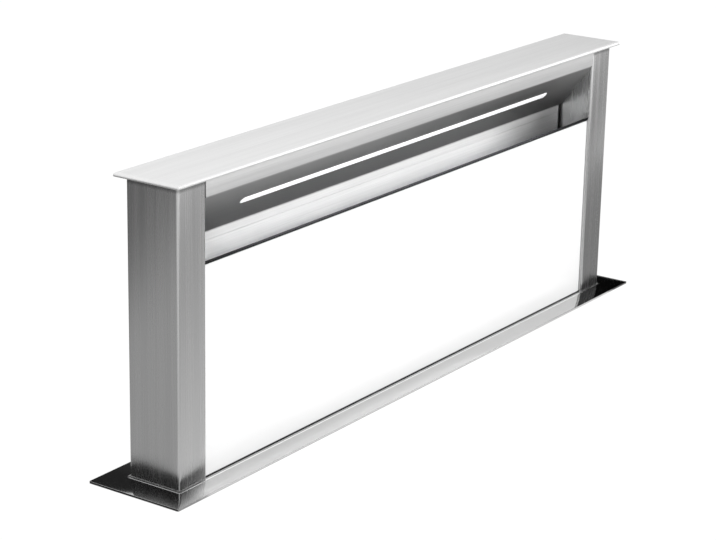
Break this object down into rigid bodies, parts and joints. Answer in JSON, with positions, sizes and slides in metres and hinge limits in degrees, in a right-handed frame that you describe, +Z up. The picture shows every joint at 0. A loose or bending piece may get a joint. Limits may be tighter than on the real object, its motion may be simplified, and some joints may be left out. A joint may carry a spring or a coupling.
{
  "type": "downdraft vent",
  "caption": "Worktop pop-up downdraft extractor, raised: slim brushed steel tower with a lit intake over a white glass panel, lift drive and blower below.",
  "frame": {"origin": "middle of the slot in the worktop, on the worktop surface, where the flange rests", "axes": "+X to the right along the tower, -Y towards the cook and the glass panel, +Z up"},
  "size_m": [1.162, 0.3096, 1.0485],
  "materials": {
    "brushed_stainless": "brushed stainless steel, grain along each sheet",
    "polished_stainless": "polished stainless steel plate",
    "galvanised_steel": "galvanised sheet steel",
    "white_glass": "toughened glass, painted white on its back",
    "opal_diffuser": "opal plastic, lit from behind",
    "dark_trim": "dark anodised trim",
    "black_rubber": "matt black rubber",
    "black_plastic": "moulded black plastic",
    "white_plastic": "moulded off-white plastic",
    "circuit_board": "green solder mask",
    "brass": "turned brass",
    "machined_steel": "turned steel, lightly oiled",
    "filter_aluminium": "layered expanded mesh in a folded frame",
    "aluminium_sheet": "mill finish",
    "cast_housing": "cast metal, blasted"
  },
  "bodies": {
    "chassis": {"blower_back_plate": "galvanised_steel", "blower_casing": "black_plastic", "cable_gland": "black_plastic", "chassis_floor": "galvanised_steel", "chassis_front": "galvanised_steel", "chassis_left_end": "galvanised_steel", "chassis_rear": "galvanised_steel", "chassis_right_end": "galvanised_steel", "control_board": "circuit_board", "control_box": "black_plastic", "control_box_cover": "black_plastic", "fan_motor": "machined_steel", "floor_bracket_left": "galvanised_steel", "floor_bracket_right": "galvanised_steel", "guide_rail_left": "aluminium_sheet", "guide_rail_right": "aluminium_sheet", "left_gearbox": "cast_housing", "lift_gear_head": "cast_housing", "lift_motor": "machined_steel", "outlet_spigot": "black_plastic", "right_gearbox": "cast_housing", "wiper_seal": "black_rubber", "worktop_clamp_front_left": "galvanised_steel", "worktop_clamp_front_right": "galvanised_steel", "worktop_clamp_rear_left": "galvanised_steel", "worktop_clamp_rear_right": "galvanised_steel", "worktop_flange": "polished_stainless"},
    "tower": {"top_lid": "brushed_stainless", "left_column": "brushed_stainless", "right_column": "brushed_stainless", "light_housing": "brushed_stainless", "led_diffuser": "opal_diffuser", "led_board": "circuit_board", "inner_back_wall": "brushed_stainless", "rear_panel": "brushed_stainless", "front_skirt": "brushed_stainless", "led_driver": "white_plastic", "grease_filter_1": "filter_aluminium", "grease_filter_2": "filter_aluminium", "grease_filter_3": "filter_aluminium", "filter_rest_bar": "brushed_stainless", "glide_shoe_left": "black_plastic", "glide_shoe_right": "black_plastic", "left_nut_carriage": "cast_housing", "right_nut_carriage": "cast_housing", "left_lift_nut": "brass", "right_lift_nut": "brass", "panel_hanger_left": "galvanised_steel", "panel_hanger_right": "galvanised_steel"},
    "front_panel": {"glass_panel": "white_glass", "panel_top_trim": "dark_trim", "panel_bottom_seal": "black_rubber", "panel_hook_frame": "galvanised_steel"},
    "left_spindle": {"left_spindle": "machined_steel"},
    "right_spindle": {"right_spindle": "machined_steel"},
    "left_cross_shaft": {"left_cross_shaft": "machined_steel"},
    "right_cross_shaft": {"right_cross_shaft": "machined_steel"},
    "fan": {"fan_wheel": "black_plastic"},
    "flap_front": {"backdraft_flap_front": "aluminium_sheet"},
    "flap_rear": {"backdraft_flap_rear": "aluminium_sheet"}
  },
  "joints": [
    {"name": "tower_lift", "type": "slide", "parent": "chassis", "child": "tower", "axis": [0, 0, 1], "range_m": [-0.399, 0]},
    {"name": "front_panel_lift", "type": "slide", "parent": "tower", "child": "front_panel", "axis": [0, 0, 1], "range_m": [0, 0.014]},
    {"name": "left_spindle_turn", "type": "hinge", "parent": "chassis", "child": "left_spindle", "pos_m": [-0.51175, 0, -0.6], "axis": [0, 0, 1], "continuous": true},
    {"name": "right_spindle_turn", "type": "hinge", "parent": "chassis", "child": "right_spindle", "pos_m": [0.51175, 0, -0.6], "axis": [0, 0, 1], "continuous": true},
    {"name": "left_shaft_turn", "type": "hinge", "parent": "chassis", "child": "left_cross_shaft", "pos_m": [0, 0, -0.6], "axis": [1, 0, 0], "continuous": true},
    {"name": "right_shaft_turn", "type": "hinge", "parent": "chassis", "child": "right_cross_shaft", "pos_m": [0, 0, -0.6], "axis": [1, 0, 0], "continuous": true},
    {"name": "fan_spin", "type": "hinge", "parent": "chassis", "child": "fan", "pos_m": [-0.06, -0.1398, -0.39], "axis": [0, -1, 0], "continuous": true},
    {"name": "flap_front_swing", "type": "hinge", "parent": "chassis", "child": "flap_front", "pos_m": [0.1783, -0.143, -0.515], "axis": [0, 0, 1], "range_deg": [0, 80], "stiffness_Nm_per_rad": 0.02, "springref_deg": -17.19},
    {"name": "flap_rear_swing", "type": "hinge", "parent": "chassis", "child": "flap_rear", "pos_m": [0.1783, -0.1406, -0.515], "axis": [0, 0, -1], "range_deg": [0, 80], "stiffness_Nm_per_rad": 0.02, "springref_deg": -17.19}
  ],
  "couplings": [
    {"joint": "left_spindle_turn", "follows": "tower_lift", "rad_per_m": 523.6},
    {"joint": "right_spindle_turn", "follows": "tower_lift", "rad_per_m": -523.6},
    {"joint": "left_shaft_turn", "follows": "tower_lift", "rad_per_m": -523.6},
    {"joint": "right_shaft_turn", "follows": "tower_lift", "rad_per_m": -523.6}
  ]
}
